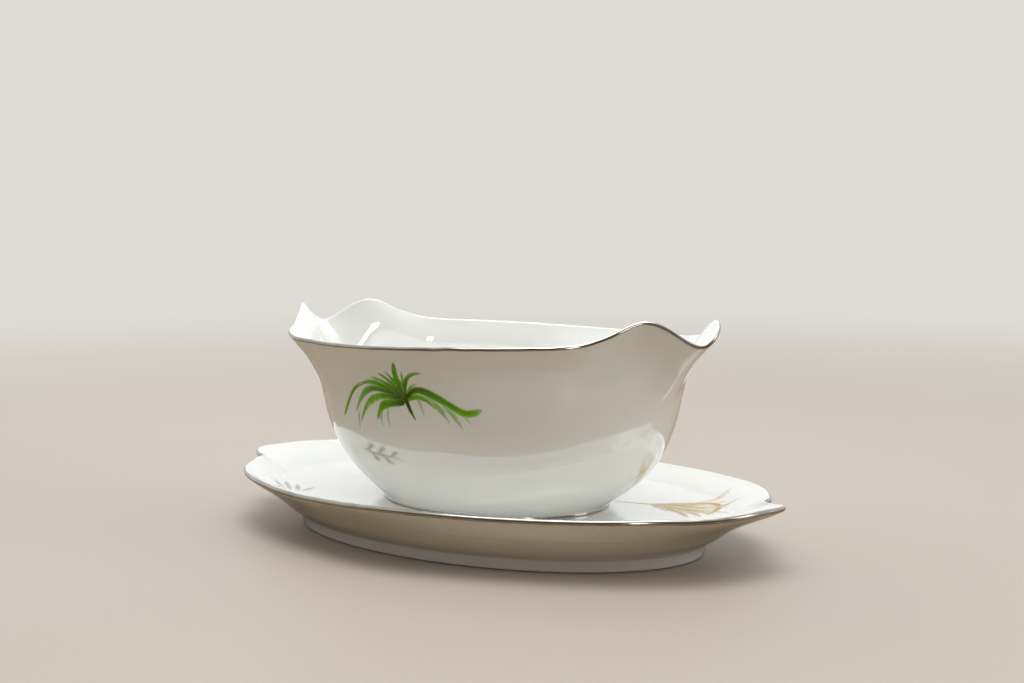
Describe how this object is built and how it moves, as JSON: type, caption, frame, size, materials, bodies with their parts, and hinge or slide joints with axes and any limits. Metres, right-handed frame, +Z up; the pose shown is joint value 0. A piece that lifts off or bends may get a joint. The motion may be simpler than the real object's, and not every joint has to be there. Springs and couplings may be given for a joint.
{
  "type": "gravy boat with underplate",
  "caption": "Oval porcelain gravy boat with a swept, spouted rim, standing in the well of a leaf-shaped underplate, with platinum edge lines.",
  "frame": {"origin": "centre of the oval, on the table plane under the underplate's foot ring", "axes": "+X along the long axis, +Y across it, +Z up"},
  "size_m": [0.228, 0.1364, 0.0843],
  "materials": {
    "porcelain": "clear gloss glaze over white porcelain",
    "platinum_line": "bright burnished platinum lustre"
  },
  "bodies": {
    "underplate": {"underplate": "porcelain", "underplate_rim_trim": "platinum_line"},
    "boat": {"boat": "porcelain", "boat_rim_trim": "platinum_line", "boat_foot_line": "platinum_line"}
  },
  "joints": [
    {"name": "boat_lift", "type": "slide", "parent": "underplate", "child": "boat", "axis": [0, 0, 1], "range_m": [0, 0.12]}
  ]
}
